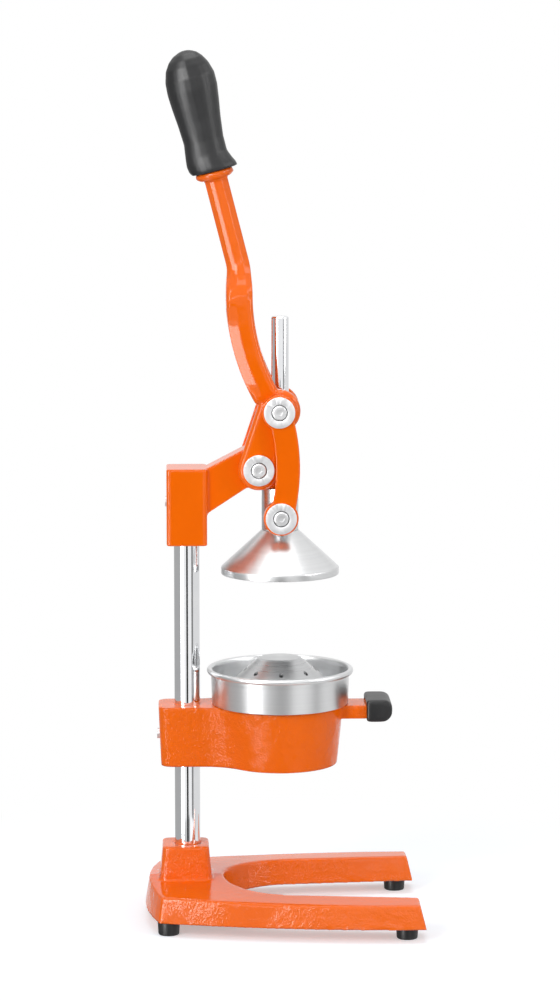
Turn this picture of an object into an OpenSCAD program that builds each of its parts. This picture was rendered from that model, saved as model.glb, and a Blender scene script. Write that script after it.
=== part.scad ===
// Lever citrus juice press, in millimetres, +Z up.
// The origin is on the table, under the axis that the plunger moves on. +X points to the
// open end of the base, where the glass goes in, and the column stands on the -X side.
// It is drawn with the lever thrown up and back, and the bell at the top of its travel.

/* [Mechanism] */
// Height of the lever's pivot above the table
pivot_z = 355; // [350:1:375]
// Distance from the press axis back to the lever's pivot
pivot_back = 17; // [14:0.5:20]
// Distance between the two pivots of the lever
crank_r = 48; // [44:0.5:50]
// Height of the lever's pivot above the links' lower pivots, with the lever up
link_drop = 36.6; // [34:0.2:42]
// Direction of the crank above the horizontal, with the lever up
crank_up_deg = 71; // [68:0.5:74]
// How far the lever swings before it meets the bumper
lever_sweep_deg = 155.9; // [150:0.1:157]

/* [Base] */
// Reach of the base behind the press axis, at the table
base_back = 106; // [100:1:118]
// Reach of the base in front of the press axis, at the table
base_front = 109; // [98:1:122]
// Half width of the base where it is widest
base_half_w = 95.5; // [90:0.5:106]
// Half width of the base at its rear corners
base_rear_half_w = 68; // [64:0.5:78]
// Distance behind the press axis of the rear corners
base_corner_back = 95.5; // [92:0.5:99]
// Thickness of the casting at its outer edge
base_edge_t = 18; // [16:0.5:24]
// How much the casting is thicker on its middle line
base_crown = 5; // [2:0.5:8]
// How far the sides lean in over the edge thickness
base_draft = 4.6; // [1:0.2:6]
// Radius of the round end of the slot, at the underside
slot_r = 54; // [46:1:57]
// Distance of the slot's centre in front of the press axis
slot_front = 14; // [8:1:20]
// Half width of the slot at its open end, at the underside
slot_mouth_half_w = 63; // [58:0.5:67]
// Width of the pedestal at its top
pedestal_top_w = 36; // [33:0.5:38]
// Width of the pedestal at its foot
pedestal_foot_w = 40.5; // [39:0.5:44]
// Height of the pedestal above the middle line of the base
pedestal_h = 25.5; // [20:0.5:32]
// Corner radius of the pedestal
pedestal_corner_r = 5; // [2:0.5:8]

/* [Feet] */
// Height of a foot
foot_h = 10; // [7:0.5:13]
// Diameter of a foot
foot_d = 17.3; // [15:0.1:20]
// Distance of the front feet in from the tips of the legs
foot_front_in = 14; // [11:0.5:20]
// Distance of the rear feet in from the back of the base
foot_back_in = 18.2; // [16:0.2:26]
// Distance of the front feet in from the sides of the base
foot_front_side_in = 17.4; // [14:0.2:19]
// Distance of the rear feet in from the sides of the base
foot_back_side_in = 10; // [9.6:0.2:20]

/* [Column] */
// Diameter of the column
column_d = 20; // [18:0.2:24]
// Distance of the column behind the press axis
column_back = 72.4; // [70:0.2:74]

/* [Head] */
// Height of the head's clamp block
head_block_h = 59.7; // [50:0.5:62]
// Length of the clamp block, front to back
head_block_l = 31.4; // [29:0.2:35]
// Width of the clamp block
head_block_w = 36; // [31:0.5:40]
// Thickness of the head's arm, and of its nose
head_arm_t = 24; // [22.5:0.1:25.5]
// Height of the nose that guides the rod
nose_h = 34; // [28:0.5:40]
// Reach of the nose in front of the press axis
nose_front = 13; // [11.5:0.5:16]

/* [Cup holder] */
// Height of the holder's top above the table
holder_top_z = 169.3; // [166:0.5:172]
// Height of the holder casting
holder_h = 47.3; // [42:0.5:52]
// Outer radius of the ring at its top
ring_top_r = 49.3; // [48.6:0.1:50]
// Outer radius of the ring at its foot
ring_foot_r = 44.6; // [43:0.2:46]
// Half width of the arm that goes round the column
holder_arm_half_w = 20; // [17:0.5:23]
// Radius of the blend between the arm and the ring
holder_blend_r = 40; // [30:1:48]
// Thickness of the nose bar that carries the bumper
nose_bar_t = 10.4; // [8:0.2:13]
// Half width of the nose bar
nose_bar_half_w = 16; // [12:0.5:18]
// Length of the bumper
bumper_l = 21; // [19:0.5:26]
// Height of the bumper
bumper_h = 17.6; // [15:0.2:20]

/* [Bowl and strainer] */
// Outer radius of the bowl's rolled rim
bowl_rim_r = 57.1; // [56.4:0.1:60]
// Height of the bowl above the ring
bowl_wall_h = 28; // [24:0.5:31]
// Thickness of the bowl's sheet
bowl_t = 1.2; // [0.8:0.1:1.6]
// Radius of the roll at the rim
bowl_roll_r = 2.2; // [1.8:0.1:2.5]
// Outer radius of the bowl where it leaves the ring
bowl_shoulder_r = 53.2; // [52:0.1:53.8]
// Outer radius of the spout
spout_r = 9.2; // [7:0.2:12]
// Thickness of the strainer's sheet
strainer_t = 0.9; // [0.6:0.1:1.2]
// Room left between the strainer's cone and the lowered bell
press_gap = 2.8; // [2:0.1:4]
// Diameter of the strainer's holes
strainer_hole_d = 3.4; // [2.4:0.1:4]

/* [Plunger] */
// Diameter of the rod
rod_d = 13.5; // [12:0.1:14.5]
// Reach of the rod above the nose when the lever is up
rod_rise = 98; // [95:1:120]
// Diameter of the crosshead's neck
neck_d = 28.6; // [26.5:0.1:30]
// Diameter of the crosshead's side bosses
side_boss_d = 24; // [20:0.2:24.6]
// Height of the neck above the link pivot
neck_above = 21.5; // [18:0.5:24]
// Depth of the neck below the link pivot
neck_below = 12.4; // [12.3:0.1:14]
// Outer radius of the bell's rim
bell_rim_r = 45.8; // [44:0.2:47]
// Height of the bell's cone
bell_cone_h = 28.2; // [27:0.2:29.4]
// Height of the bell's upright rim
bell_rim_h = 6; // [4:0.2:7]
// Thickness of the bell's sheet
bell_t = 1.2; // [0.8:0.1:1.8]

/* [Lever] */
// Thickness of a cheek of the lever's fork
cheek_t = 9; // [7.5:0.5:10]
// Outer radius of the cheek round the pivot
pivot_boss_r = 16; // [14.5:0.25:17]
// Outer radius of the cheek round the link pivot
link_boss_r = 16.5; // [15:0.25:18]
// Width of the curved part of the lever
arm_w = 20.5; // [18:0.25:23]
// Radius of the curved part, on its middle line
arm_bend_r = 159; // [150:1:175]
// Angle of the curved part
arm_bend_deg = 29.7; // [28:0.5:31]
// Length of the upright part above the curve
arm_rise = 19.5; // [17:0.5:24]
// Width of the straight bar
bar_w = 17.9; // [16:0.1:20]
// Thickness of the straight bar
bar_t = 16; // [13:0.5:18]
// Length of the straight bar up to its collar
bar_len = 71.5; // [66:0.5:75]
// How far the straight bar leans back
bar_lean_deg = 14.4; // [13:0.2:16]
// Diameter of the collar under the grip
collar_d = 29.6; // [27:0.2:31]
// Thickness of the collar
collar_t = 5.2; // [4:0.2:7]

/* [Grip] */
// Length of the grip
grip_len = 94; // [85:1:105]
// Width of the grip at its bulb
grip_w = 39.2; // [35:0.2:43]
// Thickness of the grip at its bulb
grip_t = 33; // [30:0.5:37]

/* [Links] */
// Thickness of a link
link_t = 6; // [5:0.25:7]
// Width of a link between its eyes
link_w = 18.4; // [16:0.2:19]
// Radius of a link's eyes
link_eye_r = 13.5; // [12.5:0.1:14.5]
// How far a link bows away from the pivot
link_bow = 6; // [5.6:0.1:8]

/* [Fasteners] */
// Diameter of the pivot axle and of the sleeves in the links
axle_d = 12; // [10.6:0.1:13]
// Diameter of the pivot screws
screw_d = 8; // [6:0.1:8.6]
// Diameter of a pivot screw's head
screw_head_d = 11.5; // [10:0.1:13]
// Height of a pivot screw's head, which sits down in its washer
screw_head_h = 2; // [1.4:0.1:2.6]
// Diameter of a pivot washer
washer_d = 24; // [18:0.2:24.4]
// Thickness of a pivot washer
washer_t = 2; // [1.4:0.1:2.6]
// Diameter of the two grub screws
grub_d = 8; // [6:0.1:10]
// Diameter of the bolt that holds the column
column_bolt_d = 10; // [8:0.1:12]
// Diameter of a foot's screw
foot_screw_d = 5; // [4:0.1:6]

/* [Hidden] */

enamel = "#f4640a";
chrome = "#d8dade";
steel = "#b9bcc0";
zinc = "#e6e8ea";
rubber = "#2b2b2d";
bronze = "#b98b4a";

$fn = 64;

// Overrun of a cut past the face that it opens
over = 1;
// Radial room in a fit that is assembled once
fit = 0.03;
// Radial room in a fit that turns or slides
run = 0.06;
// Room between faces that pass each other
side_gap = 0.4;
// Room at a seat or a stop
seat_gap = 0.3;
// Room left between the bumper and the lowered lever
stop_gap = 0.35;
// Radius of the small edge breaks on turned pieces
edge = 0.8;
// Steps in a round stretch of an outline
arc_n = 14;

// Pivot positions, as [x, z], with the lever up
pivot = [-pivot_back, pivot_z];
crank_top = pivot + crank_r * [cos(crank_up_deg), sin(crank_up_deg)];
link_foot = [0, pivot_z - link_drop];
link_len = norm(crank_top - link_foot);
// The same two pivots with the lever down, and the travel between them
crank_low = pivot + crank_r * [cos(crank_up_deg - lever_sweep_deg), sin(crank_up_deg - lever_sweep_deg)];
link_low = [0, crank_low[1] - sqrt(link_len * link_len - crank_low[0] * crank_low[0])];
travel = link_foot[1] - link_low[1];

// Stack of the linkage outwards from the middle plane
cheek_in = head_arm_t / 2 + side_gap;
cheek_out = cheek_in + cheek_t;
link_in = cheek_out + side_gap;
link_out = link_in + link_t;
axle_half = cheek_out + seat_gap;
link_washer_in = link_out + seat_gap;

// Levels of the plunger with the lever up
neck_top_z = link_foot[1] + neck_above;
bell_top_z = link_foot[1] - neck_below;
nose_foot_z = neck_top_z + seat_gap;
nose_top_z = nose_foot_z + nose_h;
rod_top_z = nose_top_z + rod_rise;

// Levels of the base
base_foot_z = foot_h;
base_edge_z = base_foot_z + base_edge_t;
base_ridge_z = base_edge_z + base_crown;
pedestal_top_z = base_ridge_z + pedestal_h;

// Levels of the head and of the holder
head_foot_z = pivot_z + side_gap - head_block_h;
head_top_z = head_foot_z + head_block_h;
holder_foot_z = holder_top_z - holder_h;

// Bolt and socket under the column
bolt_head_h = 6.4;
bolt_head_flats = 16;
column_washer_d = 20;
column_washer_t = 2;
bolt_recess_r = column_washer_d / 2 + over;
bolt_recess_h = bolt_head_h + column_washer_t + over;
bolt_web_t = 5;
column_foot_z = base_foot_z + bolt_recess_h + bolt_web_t;
column_tap_depth = 26;
column_head_cover = 9.5;
column_top_z = head_top_z - column_head_cover;

// Foot, with a recess for its screw
foot_recess_d = 10;
foot_recess_h = 4.5;
foot_taper = 0.5;
foot_screw_head_d = 8.6;
foot_screw_head_h = 2.7;
foot_screw_reach = 9;
foot_front = base_front - foot_front_in;
foot_back = base_back - foot_back_in;
foot_front_side = side_half_w(foot_front, 0) - foot_front_side_in;
foot_back_side = side_half_w(-foot_back, 0) - foot_back_side_in;
foot_places = [
    [foot_front, foot_front_side], [foot_front, -foot_front_side],
    [-foot_back, foot_back_side], [-foot_back, -foot_back_side],
];

// Shape of the head's arm, as [x, z] places and small radii
head_corner_r = 3;
arm_shoulder_in = 3.5;
arm_under_in = 9;
arm_shoulder_x = -pivot_back - arm_shoulder_in;
arm_under_x = -pivot_back - arm_under_in;
arm_root_drop = 33;
head_fillet_r = 5;
head_chamfer = 1.2;
bush_wall = 2.3;
bush_r = rod_d / 2 + bush_wall;

// Holder's ring and nose bar
ring_wall = 3.9;
ring_seat_h = 20;
ring_foot_wall = 6;
ring_bore_r = ring_top_r - ring_wall;
holder_draft = 2;
holder_rear = 22.6;
holder_corner_r = 8;
bar_in_bumper = 12;
bumper_skin = (bumper_h - nose_bar_t) / 2;
bumper_side = 4.4;
bumper_crown_r = 6;
bumper_chin_r = 8;
bumper_lift = 1.4;

// Bowl below the ring's top
bowl_neck_r = ring_bore_r - side_gap;
bowl_neck_h = 16;
bowl_funnel_h = 17;
spout_len = 7;

// Strainer, which follows the lowered bell
bell_top_r = neck_d / 2 + 0.1 * edge;
bell_cone_r = bell_rim_r - 1.3 * edge;
bell_low_z = bell_top_z - travel;
bell_slope_deg = atan2(bell_cone_h, bell_cone_r - bell_top_r);
bell_screw_head_h = 4.4;
bell_screw_head_d = 13;
bell_screw_reach = 9;
strainer_inset = (bell_t + press_gap) / sin(bell_slope_deg);
strainer_top_z = bell_low_z - bell_t - bell_screw_head_h - press_gap;
strainer_top_r = bell_top_r + (bell_low_z - strainer_top_z) / tan(bell_slope_deg) - strainer_inset;
strainer_base_r = 39.2;
strainer_room = 0.8;
strainer_knee_z = strainer_top_z - (strainer_base_r - strainer_top_r) * tan(bell_slope_deg);
strainer_flange_r = bowl_shoulder_r - bowl_t - strainer_room;
strainer_foot_z = holder_top_z + seat_gap + bowl_t;
strainer_crown = 2;

// Lever's places, as [x, z]
arm_root_shift = [-9.4, 10.8];
arm_root = crank_top + arm_root_shift;
arm_centre = arm_root + arm_bend_r * [cos(arm_bend_deg), sin(arm_bend_deg)];
arm_top = arm_centre - [arm_bend_r, 0];
bar_root = arm_top + [0, arm_rise];
bar_way = [-sin(bar_lean_deg), cos(bar_lean_deg)];
bar_end = bar_root + bar_len * bar_way;
bridge_below = 8;
bridge_above = 4;
// How the fork narrows to the bar: share of the way up, share of the narrowing
crown_shares = [[0, 0], [0.3, 0], [0.45, 0.1], [0.6, 0.34], [0.75, 0.66], [0.88, 0.9], [1, 1]];
web_half_w = 12;
bar_corner = 4.6;
tang_d = 13;
tang_len = 66;
grip_seat = 0.1;

// Front of the bumper, where its crown stops the lowered bar
bumper_top_z = holder_top_z + bumper_skin + bumper_lift;
function lowered(at) =
    let (p = at - pivot, c = cos(lever_sweep_deg), s = sin(lever_sweep_deg))
    pivot + [p[0] * c + p[1] * s, p[1] * c - p[0] * s];
bar_low = lowered(bar_root);
bar_low_way = (lowered(bar_end) - bar_low) / bar_len;
stop_way = [-bar_low_way[1], bar_low_way[0]];
stop_reach = stop_way * bar_low - bar_w / 2 - stop_gap - bumper_crown_r;
bumper_front = bumper_crown_r
    + (stop_reach - stop_way[1] * (bumper_top_z - bumper_crown_r)) / stop_way[0];

// Outline of the grip: place along it, half width behind, half width in front, half
// thickness. Widths and thicknesses are shares of half the bulb's
grip_shares = [
    [0.000, 0.86, 0.96, 0.90], [0.030, 0.95, 0.94, 0.92], [0.080, 0.99, 0.82, 0.88],
    [0.140, 0.96, 0.71, 0.82], [0.260, 0.88, 0.71, 0.80], [0.420, 0.92, 0.80, 0.85],
    [0.560, 0.98, 0.91, 0.93], [0.680, 1.01, 0.99, 0.99], [0.780, 0.98, 0.99, 1.00],
    [0.870, 0.85, 0.86, 0.87], [0.930, 0.66, 0.69, 0.70], [0.970, 0.44, 0.51, 0.48],
    [0.992, 0.20, 0.30, 0.26], [1.000, 0.06, 0.16, 0.12],
];
grip_round_share = 0.88;
grip_sides = 28;

// Link's middle line: an arc through both pivots
link_arc_r = link_len * link_len / (8 * link_bow) + link_bow / 2;
link_arc_deg = 2 * asin(link_len / (2 * link_arc_r));
link_tilt_deg = atan2(link_foot[0] - crank_top[0], crank_top[1] - link_foot[1]);

// Screws and their sockets
socket_r = screw_d * 0.34;
socket_depth = screw_d * 0.35;
bell_socket_depth = bell_screw_head_h * 0.55;
head_round_share = 0.3;
head_room = 0.5;
washer_floor_t = washer_t * 0.45;
axle_tap_depth = 14;
pin_d = 4;
pin_above = 15.5;
rod_socket_depth = 22;
grub_len = 10;
grub_proud = 1;
grub_socket_r = grub_d * 0.29;
grub_socket_depth = 4;
grub_height_share = 0.55;
head_grub_z = head_foot_z + grub_height_share * head_block_h;
holder_grub_z = holder_foot_z + holder_h / 2;

// Holes of the strainer: ring radius, number, first angle
hole_rings = [
    [strainer_top_r + 0.45 * (strainer_base_r - strainer_top_r), 8, 0],
    [strainer_top_r + 0.84 * (strainer_base_r - strainer_top_r), 12, 15],
];
flange_hole_r = (strainer_base_r + strainer_flange_r) / 2;
flange_holes = 24;
flange_hole_share = 0.7;

// Points on an arc, from one angle to another
function arc_points(centre, r, from_deg, to_deg, n = arc_n) =
    [for (i = [0:n]) let (a = from_deg + (to_deg - from_deg) * i / n) centre + r * [cos(a), sin(a)]];

// Points of a rectangle with round corners, anticlockwise
function round_rect(centre, size, r) =
    [for (k = [0:3], p = arc_points(
        centre + [(k == 0 || k == 3 ? 1 : -1) * (size[0] / 2 - r), (k < 2 ? 1 : -1) * (size[1] / 2 - r)],
        r, 90 * k, 90 * k + 90, 5)) p];

function raise(points, z) = [for (p = points) [p[0], p[1], z]];

function middle(ring) = [for (k = [0:2]) [for (p = ring) p[k]] * [for (p = ring) 1] / len(ring)];

// A solid through rings of points, each ring anticlockwise and with as many points
module loft(rings) {
    n = len(rings[0]);
    m = len(rings);
    last = (m - 1) * n;
    points = concat([for (ring = rings, p = ring) p], [middle(rings[0]), middle(rings[m - 1])]);
    foot_face = [for (i = [0:n - 1]) [m * n, i, (i + 1) % n]];
    top_face = [for (i = [0:n - 1]) [m * n + 1, last + (i + 1) % n, last + i]];
    lower = [for (k = [0:m - 2], i = [0:n - 1])
        [k * n + i, (k + 1) * n + i, (k + 1) * n + (i + 1) % n]];
    upper = [for (k = [0:m - 2], i = [0:n - 1])
        [k * n + i, (k + 1) * n + (i + 1) % n, k * n + (i + 1) % n]];
    polyhedron(points, concat(foot_face, lower, upper, top_face));
}

// An outline drawn in the x-z plane, as a plate between two y places
module plate(y_from, y_to) {
    translate([0, y_to, 0])
        rotate([90, 0, 0])
            linear_extrude(y_to - y_from) children();
}

// A cylinder across the press at a pivot, between two y places
module across(at, r, y_from, y_to) {
    translate([at[0], y_to, at[1]])
        rotate([90, 0, 0])
            cylinder(r = r, h = y_to - y_from);
}

// Both sides of the press
module both_sides() {
    children();
    mirror([0, 1, 0]) children();
}

// Base

function side_half_w(x, inset) =
    let (span = base_front - base_draft + base_corner_back,
         share = (base_front - base_draft - x) / span)
    base_half_w - inset - (base_half_w - base_rear_half_w) * share * share;

// Outer edge of one half, from the tip of the leg to the middle of the back
function side_path(inset) =
    let (tip = base_front - inset,
         corner = -base_corner_back + inset / 2,
         corner_y = side_half_w(-base_corner_back, inset),
         rear_bow = base_back - base_corner_back,
         rear_r = (base_rear_half_w * base_rear_half_w + rear_bow * rear_bow) / (2 * rear_bow),
         rear_deg = asin(corner_y / rear_r),
         rear_x = corner + rear_r * cos(rear_deg))
    concat(
        [for (i = [0:9]) let (x = tip + (corner - tip) * i / 10) [x, side_half_w(x, inset)]],
        arc_points([rear_x, 0], rear_r, 180 - rear_deg, 180, 6));

// Edge of the slot in one half, from the tip of the leg to the middle, with as many points
function slot_path(inset) =
    let (mouth = [base_front - inset, slot_mouth_half_w + inset],
         slot = slot_r + inset)
    concat(
        [for (i = [0:2]) mouth + ([slot_front, slot] - mouth) * i / 3],
        arc_points([slot_front, 0], slot, 90, 180, 13));

// The top of the base falls evenly from its middle line to its sides
function roof_z(y) = base_ridge_z - base_crown * y / base_half_w;

module base_half() {
    side_foot = side_path(0);
    slot_foot = slot_path(0);
    side_top = side_path(base_draft);
    slot_top = slot_path(base_draft);
    loft([for (i = [0:len(side_foot) - 1]) [
        [side_foot[i][0], side_foot[i][1], base_foot_z],
        [slot_foot[i][0], slot_foot[i][1], base_foot_z],
        [slot_top[i][0], slot_top[i][1], roof_z(slot_top[i][1])],
        [side_top[i][0], side_top[i][1], roof_z(side_top[i][1])],
    ]]);
}

module pedestal() {
    foot = round_rect([-column_back - edge * 2, 0], [pedestal_foot_w, pedestal_foot_w], pedestal_corner_r);
    top = round_rect([-column_back - edge * 2, 0], [pedestal_top_w, pedestal_top_w], pedestal_corner_r);
    loft([raise(foot, base_edge_z), raise(foot, base_ridge_z), raise(top, pedestal_top_z)]);
}

module base_casting() {
    color(enamel)
        difference() {
            union() {
                both_sides() base_half();
                pedestal();
            }
            translate([-column_back, 0, column_foot_z - seat_gap])
                cylinder(d = column_d + 2 * fit, h = pedestal_top_z - column_foot_z + seat_gap + over);
            translate([-column_back, 0, base_foot_z - over])
                cylinder(r = bolt_recess_r, h = bolt_recess_h + over);
            translate([-column_back, 0, base_foot_z])
                cylinder(d = column_bolt_d + 2 * fit, h = pedestal_top_z - base_foot_z);
            for (p = foot_places)
                translate([p[0], p[1], base_foot_z - over])
                    cylinder(d = foot_screw_d + 2 * fit, h = foot_screw_reach + 2 * over);
        }
}

module foot(place) {
    color(rubber)
        translate([place[0], place[1], 0])
            difference() {
                rotate_extrude()
                    polygon([
                        [0, 0], [foot_d / 2 - foot_taper - edge, 0], [foot_d / 2 - foot_taper, edge],
                        [foot_d / 2, foot_h], [0, foot_h],
                    ]);
                translate([0, 0, -over])
                    cylinder(d = foot_recess_d, h = foot_recess_h + over);
                cylinder(d = foot_screw_d + 2 * fit, h = foot_h + over);
            }
}

module foot_screws() {
    color(zinc)
        for (p = foot_places)
            translate([p[0], p[1], foot_recess_h - foot_screw_head_h])
                difference() {
                    union() {
                        cylinder(d = foot_screw_head_d, h = foot_screw_head_h);
                        cylinder(d = foot_screw_d,
                            h = foot_screw_head_h + foot_h - foot_recess_h + foot_screw_reach);
                    }
                    translate([0, 0, -over])
                        cylinder(d = foot_screw_d / 2, h = foot_screw_head_h / 2 + over, $fn = 6);
                }
}

// Column and its bolt

module column() {
    color(chrome)
        translate([-column_back, 0, 0])
            difference() {
                rotate_extrude()
                    polygon([
                        [0, column_foot_z], [column_d / 2 - edge, column_foot_z],
                        [column_d / 2, column_foot_z + edge], [column_d / 2, column_top_z - edge],
                        [column_d / 2 - edge, column_top_z], [0, column_top_z],
                    ]);
                translate([0, 0, column_foot_z - over])
                    cylinder(d = column_bolt_d + 2 * fit, h = column_tap_depth + over);
            }
}

module column_washer() {
    color(zinc)
        translate([-column_back, 0, column_foot_z - bolt_web_t - column_washer_t])
            difference() {
                cylinder(d = column_washer_d, h = column_washer_t);
                translate([0, 0, -over])
                    cylinder(d = column_bolt_d + 2 * fit, h = column_washer_t + 2 * over);
            }
}

module column_bolt() {
    color(zinc)
        translate([-column_back, 0, column_foot_z - bolt_web_t - column_washer_t - bolt_head_h]) {
            cylinder(d = bolt_head_flats / cos(30), h = bolt_head_h, $fn = 6);
            cylinder(d = column_bolt_d,
                h = bolt_head_h + column_washer_t + bolt_web_t + column_tap_depth - over);
        }
}

// Head

module head_block() {
    x = -column_back;
    half_l = head_block_l / 2;
    half_w = head_block_w / 2;
    r = head_corner_r;
    translate([x, 0, head_foot_z])
        linear_extrude(head_block_h) {
            square([head_block_l, head_block_w - 2 * r], center = true);
            square([head_block_l - 2 * r, head_block_w], center = true);
            for (sx = [-1, 1], sy = [-1, 1])
                translate([sx * (half_l - r), sy * (half_w - r)])
                    circle(r);
        }
}

module head_arm() {
    root_x = -column_back + head_block_l / 2;
    inner_x = root_x - head_corner_r - head_block_l / 4;
    under_z = head_top_z - arm_root_drop;
    slope_deg = atan2(nose_foot_z - under_z, arm_under_x - root_x);
    plate(-head_arm_t / 2, head_arm_t / 2)
        polygon(concat(
            [[inner_x, head_top_z], [inner_x, under_z - head_fillet_r], [root_x, under_z - head_fillet_r]],
            arc_points([root_x + head_fillet_r, under_z - head_fillet_r], head_fillet_r,
                180, 90 + slope_deg, 6),
            [[arm_under_x, nose_foot_z], [nose_front - head_chamfer, nose_foot_z],
            [nose_front, nose_foot_z + head_chamfer], [nose_front, nose_top_z - head_chamfer],
            [nose_front - head_chamfer, nose_top_z], [arm_shoulder_x, nose_top_z],
            [root_x, head_top_z]]));
}

module head_casting() {
    color(enamel)
        difference() {
            union() {
                head_block();
                head_arm();
            }
            translate([-column_back, 0, head_foot_z - over])
                cylinder(d = column_d + 2 * fit, h = column_top_z - head_foot_z + over + seat_gap);
            translate([0, 0, nose_foot_z - over])
                cylinder(r = bush_r + fit, h = nose_h + 2 * over);
            across(pivot, axle_d / 2 + fit, -head_arm_t, head_arm_t);
            translate([-column_back - head_block_l, 0, head_grub_z])
                rotate([0, 90, 0])
                    cylinder(d = grub_d + 2 * fit, h = head_block_l);
        }
}

module rod_bush() {
    color(bronze)
        translate([0, 0, nose_foot_z])
            difference() {
                cylinder(r = bush_r, h = nose_h);
                translate([0, 0, -over])
                    cylinder(d = rod_d + 2 * run, h = nose_h + 2 * over);
            }
}

// A grub screw that comes from the rear and presses on the column
module grub_screw(z) {
    color(zinc)
        translate([-column_back - column_d / 2, 0, z])
            rotate([0, -90, 0])
                difference() {
                    cylinder(d = grub_d, h = grub_reach(z));
                    translate([0, 0, grub_reach(z) - grub_socket_depth])
                        cylinder(r = grub_socket_r, h = grub_socket_depth + over, $fn = 6);
                }
}

function grub_reach(z) =
    z > holder_top_z ? head_block_l / 2 - column_d / 2 + grub_proud
        : holder_rear - column_d / 2 + grub_proud;

module head_grub_screw() grub_screw(head_grub_z);
module holder_grub_screw() grub_screw(holder_grub_z);

// Cup holder

// The ring and the arm round the column, in one outline
function holder_outline(half_w, ring_r, rear) =
    let (blend_y = half_w + holder_blend_r,
         reach = ring_r + holder_blend_r,
         blend_x = -sqrt(reach * reach - blend_y * blend_y),
         meet_deg = atan2(blend_y, -blend_x),
         rear_x = -column_back - rear,
         c = holder_corner_r)
    concat(
        arc_points([0, 0], ring_r, meet_deg - 180, 180 - meet_deg, 64),
        arc_points([blend_x, blend_y], holder_blend_r, -meet_deg, -90, 10),
        arc_points([rear_x + c, half_w - c], c, 90, 180, 5),
        arc_points([rear_x + c, c - half_w], c, 180, 270, 5),
        arc_points([blend_x, -blend_y], holder_blend_r, 90, meet_deg, 10));

module nose_bar() {
    start = ring_top_r - ring_wall + over;
    end = bumper_front - bumper_l + bar_in_bumper;
    translate([start, -nose_bar_half_w, holder_top_z - nose_bar_t])
        cube([end - start, 2 * nose_bar_half_w, nose_bar_t]);
}

module cup_holder() {
    seat_z = holder_top_z - ring_seat_h;
    foot_bore_r = ring_foot_r - ring_foot_wall;
    color(enamel)
        difference() {
            union() {
                loft([
                    raise(holder_outline(holder_arm_half_w - holder_draft, ring_foot_r,
                        holder_rear - holder_draft), holder_foot_z),
                    raise(holder_outline(holder_arm_half_w, ring_top_r, holder_rear), holder_top_z),
                ]);
                nose_bar();
            }
            rotate_extrude($fn = 128)
                polygon([
                    [0, holder_foot_z - over], [foot_bore_r, holder_foot_z - over],
                    [foot_bore_r, holder_foot_z + over], [ring_bore_r - edge, seat_z - over],
                    [ring_bore_r, seat_z], [ring_bore_r, holder_top_z + over],
                    [0, holder_top_z + over],
                ]);
            translate([-column_back, 0, holder_foot_z - over])
                cylinder(d = column_d + 2 * fit, h = holder_h + 2 * over);
            translate([-column_back - column_d * 1.5, 0, holder_grub_z])
                rotate([0, 90, 0])
                    cylinder(d = grub_d + 2 * fit, h = column_d * 1.5);
        }
}

module bumper() {
    rear_x = bumper_front - bumper_l;
    top_z = bumper_top_z;
    foot_z = top_z - bumper_h;
    half_w = nose_bar_half_w + bumper_side;
    color(rubber)
        difference() {
            plate(-half_w, half_w)
                polygon(concat(
                    [[rear_x, foot_z], [bumper_front - bumper_chin_r, foot_z]],
                    arc_points([bumper_front - bumper_chin_r, foot_z + bumper_chin_r],
                        bumper_chin_r, -90, 0, 8),
                    arc_points([bumper_front - bumper_crown_r, top_z - bumper_crown_r],
                        bumper_crown_r, 0, 90, 8),
                    [[rear_x, top_z]]));
            translate([rear_x - over, -nose_bar_half_w - fit, holder_top_z - nose_bar_t - fit])
                cube([bar_in_bumper + over + fit, 2 * (nose_bar_half_w + fit), nose_bar_t + 2 * fit]);
        }
}

// Bowl and strainer

module juice_bowl() {
    rim_z = holder_top_z + seat_gap + bowl_wall_h;
    roll_z = rim_z - bowl_roll_r;
    wall_r = bowl_rim_r - 2 * bowl_roll_r + bowl_t;
    shoulder_z = holder_top_z + seat_gap;
    neck_z = shoulder_z - bowl_neck_h;
    funnel_z = neck_z - bowl_funnel_h;
    tip_z = funnel_z - spout_len;
    t = bowl_t;
    color(steel)
        rotate_extrude($fn = 128)
            polygon(concat(
                arc_points([bowl_rim_r - bowl_roll_r, roll_z], bowl_roll_r, -120, 170, 12),
                [
                    [wall_r - t, roll_z - bowl_roll_r], [bowl_shoulder_r - t, shoulder_z + t],
                    [bowl_neck_r - t, shoulder_z + t], [bowl_neck_r - t, neck_z + t / 2],
                    [spout_r - t, funnel_z + t / 2], [spout_r - t, tip_z], [spout_r, tip_z],
                    [spout_r, funnel_z], [bowl_neck_r, neck_z], [bowl_neck_r, shoulder_z],
                    [bowl_shoulder_r, shoulder_z], [wall_r, roll_z - bowl_roll_r],
                ]));
}

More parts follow.
